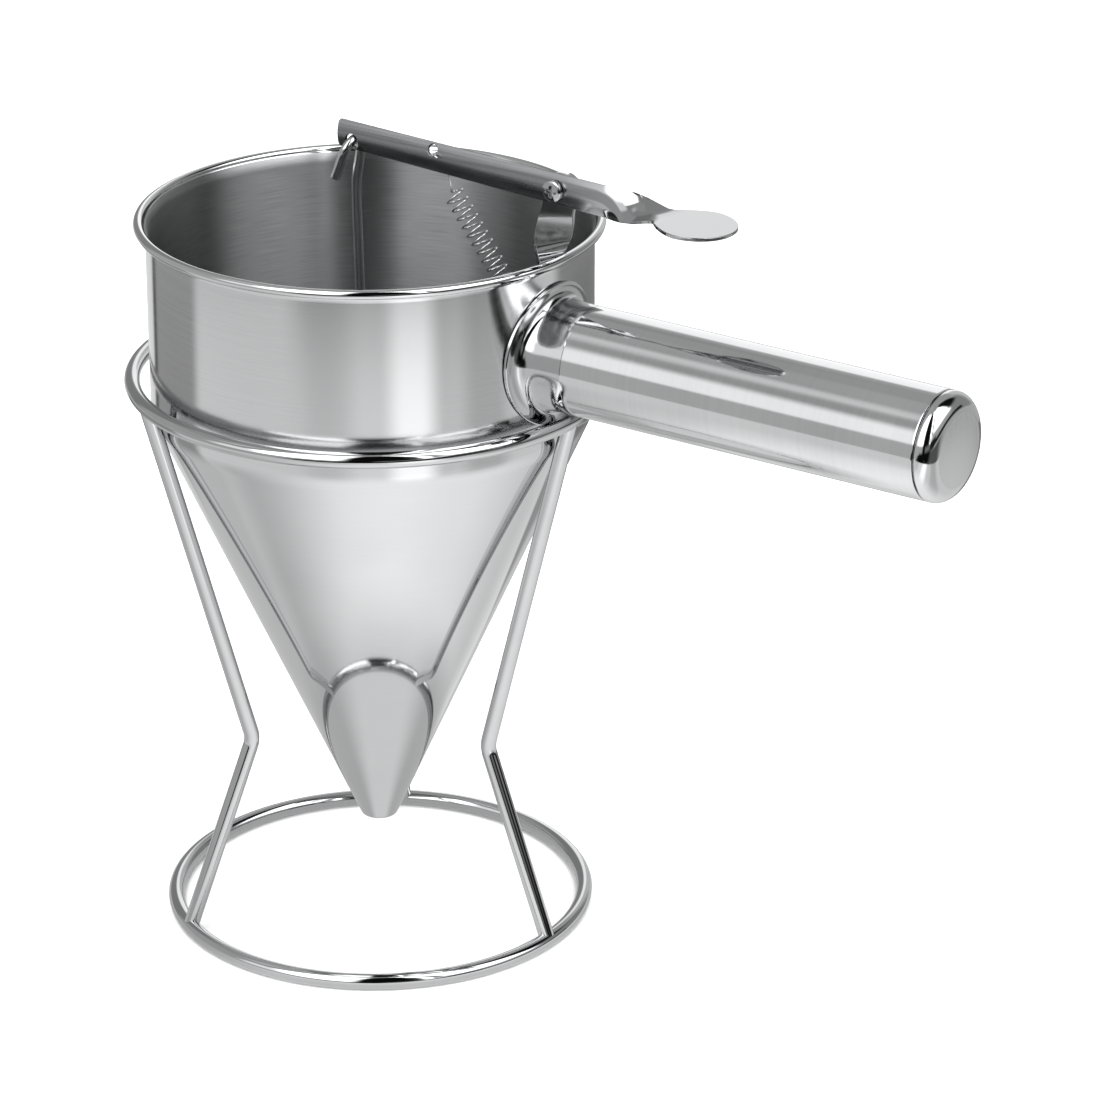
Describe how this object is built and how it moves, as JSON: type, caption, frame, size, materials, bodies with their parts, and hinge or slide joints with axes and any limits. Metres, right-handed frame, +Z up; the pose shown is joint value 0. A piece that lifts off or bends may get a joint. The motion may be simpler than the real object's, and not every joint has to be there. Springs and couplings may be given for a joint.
{
  "type": "batter dispenser",
  "caption": "Steel batter funnel with a spring-loaded lever valve and a tube handle, resting in a three-legged wire stand.",
  "frame": {"origin": "middle of the object's box on the surface that the stand rests on", "axes": "+X along the tube handle, away from the funnel; +Y towards the side away from the lever strip; +Z up"},
  "size_m": [0.2864, 0.154, 0.2636],
  "materials": {
    "chromed_wire": "bright chromed steel wire",
    "polished_steel": "mirror-polished stainless steel, faintly brushed round the cylinder",
    "brushed_steel": "lengthwise brushed stainless strip, polished at the thumb end",
    "spring_wire": "drawn stainless spring wire"
  },
  "bodies": {
    "stand": {"stand_base_ring": "chromed_wire", "stand_top_ring": "chromed_wire", "stand_leg_handle": "chromed_wire", "stand_leg_back": "chromed_wire", "stand_leg_front": "chromed_wire"},
    "funnel": {"funnel_shell": "polished_steel", "handle_collar": "polished_steel", "handle_tube": "polished_steel", "handle_end_cap": "polished_steel", "lever_bracket": "polished_steel", "pivot_screw": "polished_steel", "pivot_spacer": "polished_steel", "pivot_washer": "polished_steel", "pivot_nut": "polished_steel", "return_spring": "spring_wire"},
    "lever": {"thumb_lever": "brushed_steel"},
    "valve": {"valve_rod": "polished_steel", "valve_stopper": "polished_steel"}
  },
  "joints": [
    {"name": "funnel_lift", "type": "slide", "parent": "stand", "child": "funnel", "axis": [0, 0, 1], "range_m": [0, 0.17]},
    {"name": "lever_press", "type": "hinge", "parent": "funnel", "child": "lever", "pos_m": [0.00704, -0.0052, 0.2556], "axis": [0, 1, 0], "range_deg": [0, 18], "stiffness_Nm_per_rad": 0.3, "springref_deg": -28.65, "deforming": ["return_spring"]},
    {"name": "rod_swing", "type": "hinge", "parent": "lever", "child": "valve", "pos_m": [-0.06767, -0.0045, 0.2576], "axis": [0, 1, 0], "range_deg": [-18, 0]}
  ],
  "couplings": [
    {"joint": "rod_swing", "follows": "lever_press", "ratio": -1}
  ]
}
